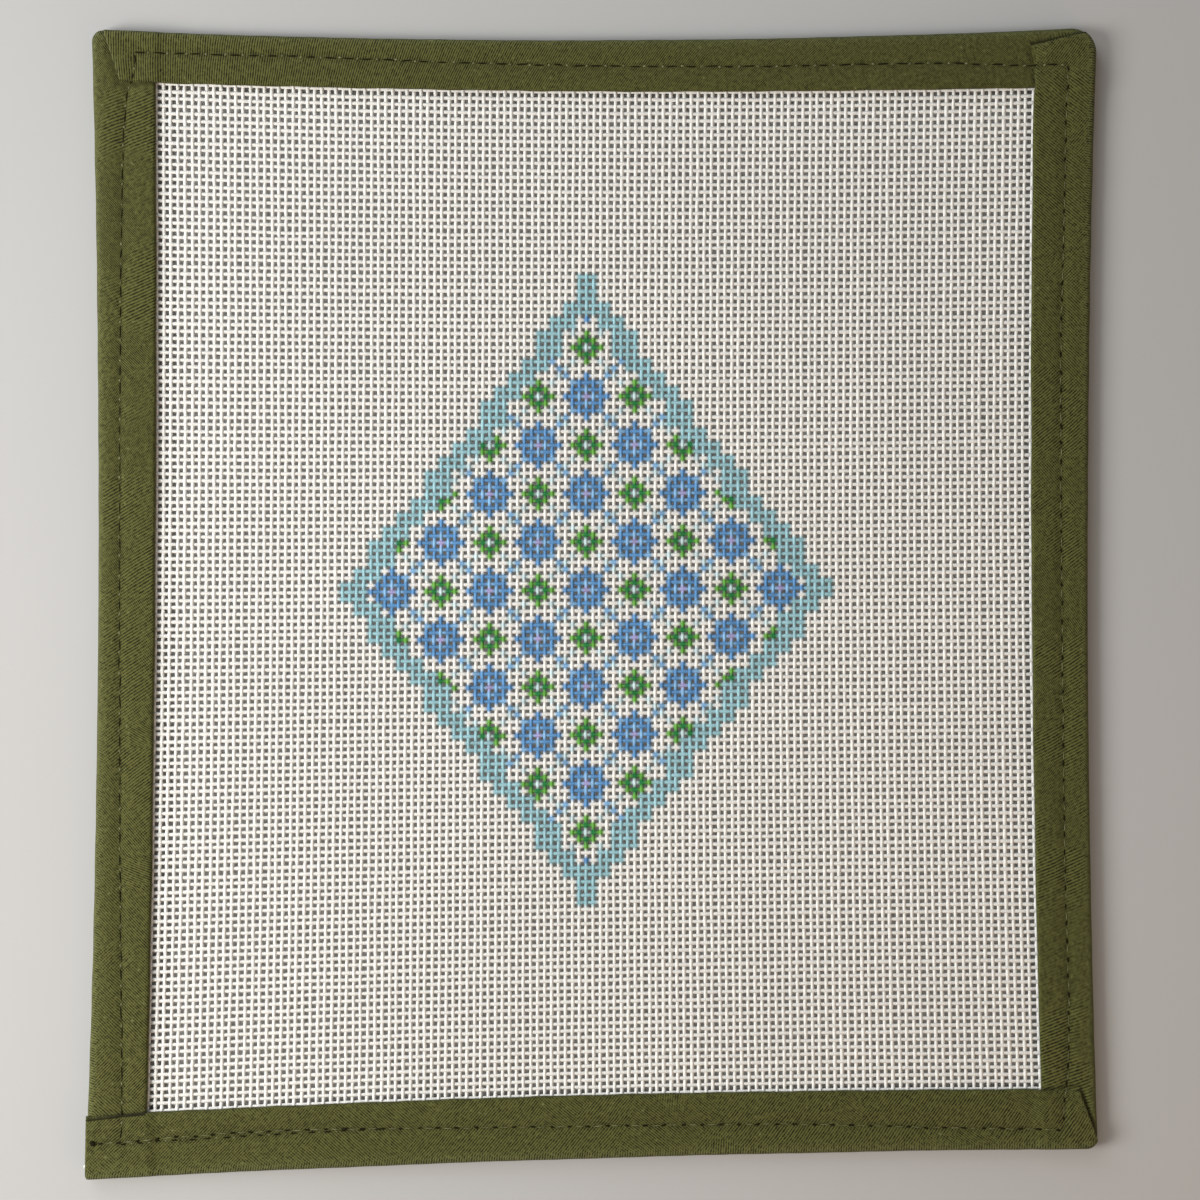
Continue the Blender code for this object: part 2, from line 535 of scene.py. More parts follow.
def corner_arc(before, corner, after, radius):
    """Points on the clockwise arc of that radius that touches both straight sides."""
    before, corner, after = (np.array(p, float) for p in (before, corner, after))
    to_before = (before - corner) / np.linalg.norm(before - corner)
    to_after = (after - corner) / np.linalg.norm(after - corner)
    half = np.arccos(to_before @ to_after) / 2
    bisector = (to_before + to_after) / np.linalg.norm(to_before + to_after)
    centre = corner + bisector * radius / np.sin(half)
    x, y = corner + to_before * radius / np.tan(half) - centre
    turn = -np.linspace(0, np.pi - 2 * half, ARC_POINTS)
    return centre + np.stack([x * np.cos(turn) - y * np.sin(turn),
                              x * np.sin(turn) + y * np.cos(turn)], axis=-1)


def outer_line():
    """The whole outer edge, clockwise from the lower left corner, and the length up to each point."""
    arcs = {}
    for number, side in enumerate(SIDES):
        arcs[side] = corner_arc(OUTER_CORNER[SIDES[number - 1]], OUTER_CORNER[side],
                                OUTER_CORNER[following(side)], CORNER_RADIUS[side])
    half = ARC_POINTS // 2
    parts = [arcs["left"][half:]]
    for side in SIDES:
        ending = arcs[following(side)]
        share = np.linspace(0, 1, EDGE_POINTS)[1:-1]
        parts.append(bowed(arcs[side][-1], ending[0], OUTER_BOW[side], share))
        parts.append(ending if side != "bottom" else ending[:half + 1])
    line = np.concatenate(parts)
    steps = np.linalg.norm(np.diff(line, axis=0), axis=1)
    return line, np.concatenate([[0], np.cumsum(steps)])


edge_line, edge_length = outer_line()


def edge_at(length):
    """The outer edge's points at those lengths."""
    return np.stack([np.interp(length, edge_length, edge_line[:, axis]) for axis in (0, 1)], axis=-1)


def length_near(point):
    """The length at which the outer edge passes nearest to a point."""
    return edge_length[np.argmin(np.linalg.norm(edge_line - np.array(point), axis=1))]


print("outer edge", round(float(edge_length[-1])), "mm round")

# %% [markdown]
# ## The seam's route
#
# One row of machine stitches runs round the middle of the tape. It wanders, as hand-guided sewing
# does, turns at each corner with the needle down, and at the lower left it ends in a knot. There the
# first stretch of it was sewn twice. The route is a short list of places in millimetres for each
# side, which a smooth curve joins.

# %% Seam route
SEAM = {
    "left": ((-93.9, -107.0), (-93.7, -99.2), (-94.1, -52.2), (-94.2, 0.8), (-94.1, 44.2),
             (-93.9, 69.8), (-93.5, 90.8), (-92.7, 101.8), (-91.3, 105.8), (-91.1, 108.8),
             (-91.7, 110.0)),
    "top": ((-91.7, 110.0), (-70.7, 109.6), (-50.3, 109.0), (-27.3, 108.1), (1.7, 107.4),
            (33.7, 107.3), (48.9, 107.6), (69.3, 108.0), (81.7, 107.6), (95.1, 107.5)),
    "right": ((95.1, 107.5), (94.7, 95.4), (94.3, 74.8), (93.8, 59.6), (93.7, 41.8), (93.9, 0.8),
              (94.5, -51.2), (95.1, -71.6), (95.3, -86.8), (94.9, -96.2), (94.3, -98.2),
              (94.1, -104.8)),
    "bottom": ((94.1, -104.8), (74.5, -104.6), (54.1, -104.1), (33.7, -103.8), (1.7, -104.2),
               (-29.7, -104.6), (-55.3, -104.9), (-70.5, -105.6), (-79.3, -106.2), (-87.7, -106.8),
               (-96.1, -107.5), (-99.4, -107.7)),
}
SECOND_ROW = ((-94.4, -107.9), (-90.3, -107.45), (-85.9, -107.2), (-78.3, -106.75),
              (-69.9, -106.3), (-55.3, -105.5), (-41.0, -104.8))


def smooth_route(places, step=0.1):
    """Points every step millimetres along a Catmull-Rom curve through the places."""
    known = np.array(places, float)
    known = np.vstack([2 * known[0] - known[1], known, 2 * known[-1] - known[-2]])
    t = np.linspace(0, 1, 60, endpoint=False)[:, None]
    spans = []
    for a, b, c, d in zip(known, known[1:], known[2:], known[3:]):
        spans.append(0.5 * (2 * b + (c - a) * t + (2 * a - 5 * b + 4 * c - d) * t ** 2
                            + (3 * b - a - 3 * c + d) * t ** 3))
    fine = np.vstack([*spans, known[-2:-1]])
    length = np.concatenate([[0], np.cumsum(np.linalg.norm(np.diff(fine, axis=0), axis=1))])
    stops = np.arange(0, length[-1], step)
    return np.stack([np.interp(stops, length, fine[:, axis]) for axis in (0, 1)], axis=-1)


seam_routes = {side: smooth_route(places) for side, places in SEAM.items()}
second_route = smooth_route(SECOND_ROW)
seam_points = np.vstack([*seam_routes.values(), second_route])
print("seam", round(sum(len(r) for r in seam_routes.values()) * 0.1), "mm")


def seam_distance(places):
    """How far each place is from the seam, in millimetres, worked out in blocks to save memory."""
    sparse = seam_points[::5]
    blocks = np.array_split(places.reshape(-1, 2), max(1, places.size // 20000))
    nearest = [np.sqrt(((block[:, None] - sparse[None]) ** 2).sum(-1)).min(1) for block in blocks]
    return np.concatenate(nearest).reshape(places.shape[:-1])


# %% [markdown]
# ## Where each side of the tape starts and ends
#
# The tape goes clockwise. At three corners it is tucked into a mitre, so the next side starts with a
# slanting fold that lies on top of the side before. At the lower left its end laps over its start.

# %% Where each side of the tape starts and ends
# Millimetres: the ends of the fold that starts the side, then the ends of its hidden or lapped end
STRIP_ENDS = {
    # side:   start, outer and inner              end, outer and inner
    "left": ((-101.1, -108.5), (-88.9, -107.0), (-95.4, 114.9), (-87.2, 107.4)),
    "top": ((-97.6, 114.9), (-94.1, 103.6), (101.0, 111.2), (91.7, 103.2)),
    "right": ((98.7, 114.0), (87.6, 111.6), (98.0, -109.1), (89.9, -100.2)),
    "bottom": ((101.2, -107.3), (97.4, -96.2), (-101.3, -115.2), (-100.9, -103.0)),
}
TUCK = {"left": (0.5, 0.9), "top": (0.0, 0.9), "right": (0.0, 0.9), "bottom": (0.0, 0.0)}
TUCK_REACH = (8.0, 3.0)         # how far from the start and the end an edge is tucked in
STATION_STEP = 0.62             # millimetres between stations
# Where the lower left end's folded edge lies on the left side
LAP_EDGE = ((-100.9, -103.0), (-88.9, -101.7))


# %% [markdown]
# ## The tape's finish
#
# Bias tape is cut slantwise from a fine cotton, so its threads run at half a right angle to its edge.
# Close to, they show as fine slanting lines one way or the other, and where the tape is rolled over
# the edge, as short ribs straight across it. The lines follow the tape round the corners, so they are
# drawn on a map of metres along and across it. The upper side was pulled straighter as it was sewn, so
# the ribs run nearly across it all over. The rolled edge and each side's start get a painted highlight,
# and painted shade darkens the seam's groove and the crease beside each edge of tape lying on another.

# %% Tape finish
RIB = 0.46 * MM                 # from one fine line of the weave to the next
OLIVE = (0.104, 0.106, 0.027, 1.0)
OLIVE_DEEP = (0.006, 0.006, 0.001, 1.0)
# OLIVE_PALE is also the colour of the painted highlight on the rolled edge
OLIVE_PALE = (0.165, 0.174, 0.068, 1.0)
# Painted shade: the near-black laid in the creases and along the seam's groove, where shade falls
PAINTED_CREASE_SHADE = (0.010, 0.009, 0.002, 1.0)
TOP_SIDE_FROM = (0.100, 0.104)          # Y where the upper side's ribs come in, in metres
RIGHT_SIDE_FROM = (0.0865, 0.0885)      # X where they end, at the right side's fold


def slanted_lines(tree, along, across, angle, pitch, waver):
    """Lines at an angle to the tape: a sine of the distance square to them, from 0 to 1.

    The waver is added to the distance, in pitches, so that the lines aren't ruler straight.
    """
    distance = maths(tree, "ADD", maths(tree, "MULTIPLY_ADD", along, np.cos(angle) / pitch, waver),
                     maths(tree, "MULTIPLY", across, np.sin(angle) / pitch))
    wave = maths(tree, "SINE", maths(tree, "MULTIPLY", distance, 2 * np.pi))
    return maths(tree, "MULTIPLY_ADD", wave, 0.5, 0.5)


def beside_line(tree, place, start, end, reach, strength):
    """Strength just left of the way from start to end, fading to nothing a reach away from it."""
    way = np.array(end) - np.array(start)
    length = float(np.hypot(*way))
    (dx, dy), (x0, y0) = way / length, np.array(start) * MM
    x, y = parts_of(tree, place)
    ahead = maths(tree, "MULTIPLY_ADD", x, dx, maths(tree, "MULTIPLY_ADD", y, dy, -x0 * dx - y0 * dy))
    left = maths(tree, "MULTIPLY_ADD", y, dx, maths(tree, "MULTIPLY_ADD", x, -dy, x0 * dy - y0 * dx))
    fade = spread(tree, left, 0.0, reach * MM, strength, 0.0)
    fade = maths(tree, "MULTIPLY", fade, maths(tree, "GREATER_THAN", left, -0.15 * MM))
    fade = maths(tree, "MULTIPLY", fade, maths(tree, "GREATER_THAN", ahead, 0.0))
    return maths(tree, "MULTIPLY", fade, maths(tree, "LESS_THAN", ahead, length * MM))


tape_finish, tree, shader = new_finish("binding_olive", 0.9, specular=0.12, sheen=0.04)
along, across = mapped(tree, "tape_run")
place = object_place(tree)
roll = kept(tree, "roll")
waver = maths(tree, "MULTIPLY", noise(tree, place, 130, 3.0), 1.1)
ribs = slanted_lines(tree, along, across, np.radians(-16), RIB * 1.05, waver)
rising = slanted_lines(tree, along, across, np.radians(45), RIB * 1.06, waver)
falling = slanted_lines(tree, along, across, np.radians(-45), RIB, waver)
patches = spread(tree, noise(tree, place, 70, 1.0), 0.42, 0.58)
weave = maths(tree, "MULTIPLY_ADD", patches, maths(tree, "SUBTRACT", rising, falling), falling)
both = maths(tree, "MULTIPLY", maths(tree, "ADD", rising, falling), 0.22)
weave = maths(tree, "MULTIPLY_ADD", weave, 0.56, both)
ribs_show = maths(tree, "MAXIMUM", roll, spread(tree, noise(tree, place, 45, 1.0), 0.56, 0.70))
place_x, place_y = parts_of(tree, place)
on_top = spread(tree, place_y, *TOP_SIDE_FROM, 0.0, 0.85)
on_top = maths(tree, "MULTIPLY", on_top, spread(tree, place_x, *RIGHT_SIDE_FROM, 1.0, 0.0))
ribs_show = maths(tree, "MAXIMUM", ribs_show, on_top)
weave = maths(tree, "MULTIPLY_ADD", ribs_show, maths(tree, "SUBTRACT", ribs, weave), weave)
grit = noise(tree, place, 1500, 3.0)
lines = maths(tree, "MULTIPLY_ADD", grit, 0.70, maths(tree, "MULTIPLY", weave, 0.5))
cloth = blend_colours(tree, spread(tree, lines, 0.30, 0.80), OLIVE_DEEP, OLIVE)
# Painted highlight: the rolled edge and each side's start are blended towards OLIVE_PALE; a little of it
# also lightens the weave's light lines all over
highlight_and_pale_tone = maths(tree, "MULTIPLY", maths(tree, "MULTIPLY_ADD", roll, 0.55, 0.12),
             spread(tree, lines, 0.35, 0.8))
cloth = blend_colours(tree, highlight_and_pale_tone, cloth, OLIVE_PALE)
specks = spread(tree, noise(tree, place, 1500, 1.0), 0.76, 0.80, 0.0, 0.5)
cloth = blend_colours(tree, specks, cloth, (0.24, 0.25, 0.15, 1.0))
# Painted shade: near-black blended in along the seam's groove and beside each fold and edge of tape that
# lies on another
crease_shade = kept(tree, "crease_shade")
for side, fold, edge in (("top", 0.25, 0.35), ("right", 0.85, 0.30), ("bottom", 0.75, 0.50)):
    fold_out, fold_in = STRIP_ENDS[side][:2]
    for start, end, strength in ((fold_in, fold_out, fold), (INNER_CORNER[side], fold_in, edge)):
        crease_shade = maths(tree, "MAXIMUM", crease_shade, beside_line(tree, place, start, end, 0.8, strength))
crease_shade = maths(tree, "MAXIMUM", crease_shade, beside_line(tree, place, *LAP_EDGE, 0.8, 0.9))
cloth = blend_colours(tree, crease_shade, cloth, PAINTED_CREASE_SHADE)
tree.links.new(cloth, shader.inputs["Base Color"])
bump(tree, lines, 0.10 * MM, shader, 0.9)
print("finish", tape_finish.name)

# %% [markdown]
# ## The tape
#
# Each side of the tape is made as its own shell, and together they are one piece.
#
# A side is a ruled surface: a station on the outer edge is joined to a station on the window's edge,
# and the tape's folded section is laid along that line. The section's heights come from how the
# tape was sewn. It swells between the fold and the seam, dips along the seam, and rises by one ply
# where it lies over its neighbour.

# %% [markdown]
# The section is a closed loop: out along the top face from the window, round the fold, back along
# the underside, and inside again. It is given as shares of the tape's width from the fold, 0, to the
# window, 1, closest together where it turns.

# %% The folded section
FOLD_SHARE = 0.10               # how much of the width the rolled fold takes
HEM_SHARE = 0.03                # and the rounding of the turned-in edge
top_shares = np.concatenate([1 - HEM_SHARE * (1 - np.cos(np.linspace(0, np.pi / 2, 4))),
                             np.linspace(1 - HEM_SHARE, FOLD_SHARE, 19)[1:-1],
                             FOLD_SHARE * (1 - np.sin(np.linspace(0, np.pi / 2, 6)))])
under_shares = np.concatenate([FOLD_SHARE * (1 - np.cos(np.linspace(0, np.pi / 2, 5)))[1:],
                               np.linspace(FOLD_SHARE, 1 - HEM_SHARE, 10)[1:],
                               1 - HEM_SHARE * (1 - np.sin(np.linspace(0, np.pi / 2, 3)))[1:]])
inner_shares = np.array((0.7, 0.4, 0.16))

PLY_TOP = canvas_high[2] / MM + 0.05        # the upper ply's lower face, on the canvas
PLY_UNDER = canvas_low[2] / MM - 0.05       # the lower ply's upper face
FULL_HEIGHT = binding_high[2] / MM
TOP_FACE = FULL_HEIGHT - 0.50               # where the top face lies, before it swells or dips
LAP_RISE = 0.48                             # one ply more, where a side lies over another
FOLD_MIDDLE = FULL_HEIGHT * 0.47


def rounding(share):
    """0 at the fold and at the turned-in edge, 1 between: quarter circles at both."""
    fold = np.sqrt(np.clip(1 - (1 - np.clip(share / FOLD_SHARE, 0, 1)) ** 2, 0, 1))
    hem = np.sqrt(np.clip(1 - (1 - np.clip((1 - share) / HEM_SHARE, 0, 1)) ** 2, 0, 1))
    return fold, hem


print("section of", len(top_shares) + len(under_shares) + 2 * len(inner_shares), "points")

# %% [markdown]
# The heights follow. Swelling is a low arch across the tape, the seam is a trough with a narrow
# groove at its bottom, and puckers are shallow ripples that come with the stitches and fade out away
# from them. Slow sine waves with odd lengths keep any two stretches from being alike.

# %% Heights of the cloth
STITCH = 3.75                   # millimetres from one needle hole to the next, on the whole
SWELL, FOLD_SWELL = 0.16, 0.10  # how high the cloth arches, and how much more beside the fold
TROUGH, GROOVE = 0.24, 0.16     # how deep the seam's dip is, and the narrow groove in it
PUCKER, UNEVEN = 0.045, 0.045   # the height of the ripples, and of the slow waves
PRESSED = 0.32                  # how far the next side's edge presses this side down
UNDER_TROUGH, UNDER_UNEVEN, TUCK_LIFT = 0.22, 0.04, 0.5


def slow_waves(places, lengths, seed):
    """A sum of slanting sine waves over the panel, one of each length in millimetres, about -1 to 1."""
    angles = np.random.default_rng(seed).uniform(0, 2 * np.pi, (len(lengths), 2))
    total = 0.0
    for length, (turn, phase) in zip(lengths, angles):
        distance = places[..., 0] * np.cos(turn) + places[..., 1] * np.sin(turn)
        total = total + np.sin(2 * np.pi * distance / length + phase)
    return total / len(lengths)


def line_distance(places, corners):
    """How far each place is from a line through the corners, in millimetres."""
    nearest = np.inf
    for start, end in zip(np.array(corners[:-1]), np.array(corners[1:])):
        way = end - start
        share = np.clip((places - start) @ way / (way @ way), 0, 1)
        nearest = np.minimum(nearest, np.linalg.norm(places - start - share[..., None] * way, axis=-1))
    return nearest


def pressed(side, places):
    """From 0 to 1, how near a place is to the edge of the tape that lies over this side."""
    after = following(side)
    start_out, start_in = STRIP_ENDS[after][:2]
    near = np.zeros(places.shape[:2])
    if side != "bottom":
        near = np.exp(-(line_distance(places, (start_out, start_in, INNER_CORNER[after])) / 0.55) ** 2)
    if side == "left":
        near = near + 1.2 * np.exp(-(line_distance(places, LAP_EDGE) / 0.6) ** 2)
    return near


def top_face(places, share, overlap):
    """Height of the tape's top face: the plain height, swollen, dipped at the seam and puckered."""
    away = seam_distance(places)
    swell = SWELL * np.sin(np.pi * np.clip(share, 0, 1))
    swell = swell + FOLD_SWELL * np.exp(-((share - 0.22) / 0.2) ** 2)
    trough = TROUGH * np.exp(-(away / 1.5) ** 2) + GROOVE * np.exp(-(away / 0.45) ** 2)
    ripple = np.sin(2 * np.pi * (places[..., 0] + places[..., 1]) / STITCH)
    pucker = PUCKER * ripple * np.exp(-(away / 2.6) ** 2)
    uneven = UNEVEN * slow_waves(places, (31, 17, 9.3, 5.9), 7)
    return TOP_FACE + swell - trough + pucker + uneven + LAP_RISE * overlap


def under_face(places, share, tucked):
    """Height of the underside: on the surface, but drawn up at the seam and where it is tucked in."""
    away = seam_distance(places)
    trough = UNDER_TROUGH * np.exp(-(away / 1.2) ** 2)
    uneven = UNDER_UNEVEN * (1 + slow_waves(places, (23, 11.7, 6.1), 11))
    return trough + uneven + TUCK_LIFT * tucked


print("top face about", round(float(TOP_FACE), 2), "mm up")

# %% [markdown]
# One side of the tape, then: its two edge lines are sampled at matching stations, crowded together
# at the ends, and every point of the section is carried along them as one array.

# %% One side of the tape
def side_lines(side):
    """The side's outer and inner lines at its stations, and the length up to each station."""
    start_out, start_in, end_out, end_in = STRIP_ENDS[side]
    first, last = length_near(start_out), length_near(end_out)
    if side == "bottom":
        last = edge_length[-1]
    count = int((last - first) / STATION_STEP)
    near = np.array((0.0, 0.1, 0.25, 0.45)) / (last - first)
    share = np.concatenate([near, np.linspace(0, 1, count)[1:-1], 1 - near[::-1]])
    corner, next_corner = np.array(INNER_CORNER[side]), np.array(INNER_CORNER[following(side)])
    way = next_corner - corner
    inner_first, inner_last = (((np.array(p) - corner) @ way) / (way @ way)
                               for p in (start_in, end_in))
    outer = edge_at(first + share * (last - first))
    inner = inner_side(side, inner_first + share * (inner_last - inner_first))
    return outer, inner, share * (last - first)


def overlaps(side, places):
    """Where the side lies over the one before it, and where it is tucked under the next."""
    corner, next_corner = np.array(INNER_CORNER[side]), np.array(INNER_CORNER[following(side)])
    way = (next_corner - corner) / np.linalg.norm(next_corner - corner)
    past_start = (places - corner) @ way
    past_end = (places - next_corner) @ way
    at_start = 1 - smooth_step(past_start / 2.2)
    at_end = smooth_step((past_end + 2.2) / 2.2)
    over = {"left": 0 * at_start, "bottom": np.maximum(at_start, at_end)}.get(side, at_start)
    under = {"left": np.maximum(at_start, at_end), "bottom": 0 * at_end}.get(side, at_end)
    return over, under


def tape_side(side):
    """The shell of one side: points (station, section point, xyz) in metres, its map, how near each
    point is to the rolled edge, which sets its ribs and painted highlight, and its painted crease shade.

    A point is outer + share (inner - outer) across, and its height is the face's own height
    drawn towards the fold's middle by the rounding of the fold and of the turned-in edge.
    """
    outer, inner, length = side_lines(side)
    tuck_start, tuck_end = TUCK[side]
    tuck = (tuck_start * (1 - smooth_step(length / TUCK_REACH[0]))
            + tuck_end * smooth_step((length - length[-1] + TUCK_REACH[1]) / TUCK_REACH[1]))
    to_inner = (inner - outer) / np.linalg.norm(inner - outer, axis=1, keepdims=True)
    outer = outer + to_inner * (tuck + 0.06 * slow_waves(outer, (41, 13, 7.1), 3))[:, None]
    inner = inner + to_inner * (0.13 * slow_waves(inner, (37, 19, 8.3), 5))[:, None]
    shares = np.concatenate([top_shares, under_shares, inner_shares, inner_shares[::-1]])
    places = outer[:, None] + shares[None, :, None] * (inner - outer)[:, None]
    over, under = overlaps(side, places)
    share = np.broadcast_to(shares, places.shape[:2])
    fold, hem = rounding(share)
    from_start = np.minimum(length, length[-1] - length if side == "bottom" else 99)[:, None]
    end_round = np.sqrt(np.clip(1 - (1 - np.clip(from_start / 0.45, 0, 1)) ** 2, 0, 1))
    base = PLY_TOP + LAP_RISE * over
    near_lap = pressed(side, places)
    face = top_face(places, share, over) - PRESSED * near_lap
    top = base + (face - base) * hem * (0.35 + 0.65 * end_round)
    top = FOLD_MIDDLE + (top - FOLD_MIDDLE) * fold
    bottom = PLY_UNDER + (under_face(places, share, under) - PLY_UNDER) * hem
    bottom = FOLD_MIDDLE + (bottom - FOLD_MIDDLE) * fold
    tops, unders, inners = len(top_shares), len(under_shares), len(inner_shares)
    height = np.concatenate([top[:, :tops], bottom[:, tops:tops + unders],
                             np.full((len(length), inners), PLY_UNDER),
                             np.full((len(length), inners), PLY_TOP)], axis=1)
    points = np.concatenate([places, height[..., None]], axis=-1) * MM
    steps = np.linalg.norm(np.diff(points, axis=1), axis=-1)
    across = np.concatenate([np.zeros((len(length), 1)), np.cumsum(steps, axis=1)], axis=1)
    along = np.broadcast_to(length[:, None] * MM, across.shape)
    # Painted highlight on the rolled fold and at each side's start
    highlight_and_pale_tone = np.exp(-(share / 0.13) ** 2) + 0.4 * np.exp(-(from_start / 0.8) ** 2)
    # Painted shade along the seam's groove
    crease_shade = 0.30 * np.exp(-(seam_distance(places) / 0.4) ** 2)
    return (points, np.stack([along, across], axis=-1), np.clip(highlight_and_pale_tone, 0, 1),
            np.clip(crease_shade, 0, 0.85))


def shell_faces(stations, around, first):
    """Quads between stations, and one many-sided face to close each end."""
    number = np.arange(stations * around).reshape(stations, around) + first
    here, there = number[:-1], number[1:]
    quads = np.stack([here, there, np.roll(there, -1, axis=1), np.roll(here, -1, axis=1)], axis=-1)
    return quads.reshape(-1, 4), [number[0].tolist(), number[-1, ::-1].tolist()]


# %% Join the four sides into one piece of tape
all_points, all_quads, all_ends, all_maps, all_rolls, all_crease_shades = [], [], [], [], [], []
count = 0
for side in SIDES:
    points, tape_map, rolled, crease_shade_values = tape_side(side)
    quads, ends = shell_faces(points.shape[0], points.shape[1], count)
    count += points.shape[0] * points.shape[1]
    all_points.append(points.reshape(-1, 3))
    all_maps.append(tape_map.reshape(-1, 2))
    all_rolls.append(rolled.ravel())
    all_crease_shades.append(crease_shade_values.ravel())
    all_quads.append(quads)
    all_ends.extend(ends)
tape = add_piece("binding_tape", np.concatenate(all_points), np.concatenate(all_quads),
                 tape_finish, all_ends)
tape.data.set_sharp_from_angle(angle=np.radians(70))
add_map(tape, "tape_run", np.concatenate(all_maps))
# The roll value also sets how strongly the rolled edge takes its painted highlight
add_vertex_value(tape, "roll", np.concatenate(all_rolls))
# Painted shade for the creases and the seam's groove, kept on each point
add_vertex_value(tape, "crease_shade", np.concatenate(all_crease_shades))
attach(tape, "root")
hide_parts("binding")
print("tape", sum(len(f.vertices) - 2 for f in tape.data.polygons), "triangles")

# %% [markdown]
# ## The stitches
#
# A lockstitch shows as a row of short threads, each a little proud of the cloth in its middle and
# pulled down at both ends into the shadow of a needle hole. On the left and the top only a small
# loop of the thread shows, with a long dark lens beside it, painted shade where the groove lies
# in shadow. Threads and dark lenses are tapered tubes laid along the route, all worked out at once;
# the lenses are near-black painted shade. Their height is read from the tape by dropping a line onto it.

# %% Stitch finishes
stitch_finish, tree, shader = new_finish("thread_olive", 0.7, specular=0.3)
place = object_place(tree)
fleck = spread(tree, noise(tree, place, 1800), 0.35, 0.65)
tree.links.new(blend_colours(tree, fleck, (0.090, 0.094, 0.035, 1), (0.200, 0.205, 0.100, 1)),
               shader.inputs["Base Color"])
# Near-black painted shade for the needle holes and the seam's groove; the knot below wears it too
hole_shade_finish, tree, shader = new_finish("needle_hole_shade", 0.95, specular=0.05)
place = object_place(tree)
tree.links.new(blend_colours(tree, noise(tree, place, 2500), (0.006, 0.006, 0.002, 1),
                             (0.020, 0.019, 0.007, 1)), shader.inputs["Base Color"])

# %% Laying short threads along a route
tape_tree = BVHTree.FromObject(tape, bpy.context.evaluated_depsgraph_get())


def heights_on_tape(places, face):
    """Height in metres of the tape's top face (1) or underside (-1) at each place."""
    start = FULL_HEIGHT * MM + 0.01 if face > 0 else -0.01
    heights = []
    for x, y in places.reshape(-1, 2) * MM:
        hit = tape_tree.ray_cast(Vector((x, y, start)), Vector((0, 0, -face)))[0]
        heights.append(hit.z if hit else (TOP_FACE * MM if face > 0 else 0.0))
    return np.array(heights).reshape(places.shape[:-1])


# Millimetres: stitch, then the length and half-width of the dark lens of painted shade, then the thread's
STITCHING = {
    "left": (3.90, 2.55, 0.15, 0.6, 0.20),
    "top": (3.80, 2.4, 0.17, 0.65, 0.20),
    "right": (3.55, 1.13, 0.23, 1.8, 0.09),
    "bottom": (3.75, 1.15, 0.23, 1.85, 0.09),
    "second": (3.40, 1.5, 0.18, 0.5, 0.13),
}


def lens_row(route, pitch, first, length, radius, arch, flat, face):
    """Lens-like short tubes along a route, one to a stitch, their lengths and lines a little uneven.

    At share t along one, from 0 to 1, the half-thickness is radius (1 - (2t - 1)^4), and it stands
    arch (1 - (2t - 1)^2) off the cloth, less a fifth of that where it dives. It is wider than it is
    deep where flat is below 1. On the underside it is pressed flat where it meets the surface, at 0.
    """
    rings, around = 5, 6
    starts = np.arange(first, len(route) * 0.1 - length, pitch)
    count = (len(starts), 1)
    starts = starts[:, None] + chance.uniform(-0.2, 0.2, count)
    t = np.linspace(0, 1, rings)
    stops = starts + t * length * chance.uniform(0.8, 1.2, count)
    places = np.stack([np.interp(stops, np.arange(len(route)) * 0.1, route[:, axis])
                       for axis in (0, 1)], axis=-1)
    way = np.gradient(places, axis=1)
    way = way / np.linalg.norm(way, axis=-1, keepdims=True)
    sideways = np.stack([way[..., 1], -way[..., 0]], axis=-1)
    lean = chance.normal(0, 0.05, count) + chance.normal(0, 0.06, count) * (2 * t - 1)
    places = places + sideways * lean[..., None]
    bulge = 2 * t - 1
    height = heights_on_tape(places, face) / MM + face * arch * (0.8 - bulge ** 2)
    thick = radius * np.maximum(1 - bulge ** 4, 0.12)[:, None]
    angle = 2 * np.pi * np.arange(around) / around
    edge = places[:, :, None] + sideways[:, :, None] * (thick * np.cos(angle))[None, ..., None]
    z = np.maximum(height[..., None] + flat * thick * np.sin(angle), 0.0)
    points = np.concatenate([edge, z[..., None]], axis=-1) * MM
    return points, (len(starts), rings, around)


def sew(name, hollows, arch, flat, material):
    """One piece that holds every dark lens of painted shade, or every thread, of the seam on both faces.
    """
    routes = [*((seam_routes[side], side) for side in SIDES), (second_route, "second")]
    points, quads, caps = [], [], []
    count = 0
    for face in (1, -1):
        for route, row in routes:
            pitch, hollow, hollow_radius, thread, thread_radius = STITCHING[row]
            begin = 0.3 if hollows else 0.3 + hollow + (pitch - hollow - thread) / 2
            long, thick = (hollow, hollow_radius) if hollows else (thread, thread_radius)
            part, rings = lens_row(route, pitch, begin, long, thick, arch, flat, face)
            quads.append(tube_quads(*rings) + count)
            caps.extend([[number + count for number in cap] for cap in tube_caps(*rings)])
            points.append(part.reshape(-1, 3))
            count += len(points[-1])
    piece = add_piece(name, np.concatenate(points), np.concatenate(quads), material, caps)
    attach(piece, "root")
    return piece


stitches = sew("seam_stitches", False, 0.10, 0.8, stitch_finish)
# Near-black lenses of painted shade, where the needle holes and the seam's groove lie in shadow
hole_shade_piece = sew("seam_hollow_shades", True, 0.03, 0.35, hole_shade_finish)
print("stitches", sum(len(f.vertices) - 2 for f in stitches.data.polygons), "triangles")

# %% [markdown]
# ## Loose ends
#
# At the lower left the seam ends in a small knot, and the cut end of one canvas thread pokes out of
# the tape's open end. Both are short tubes carried along a few places of their own.

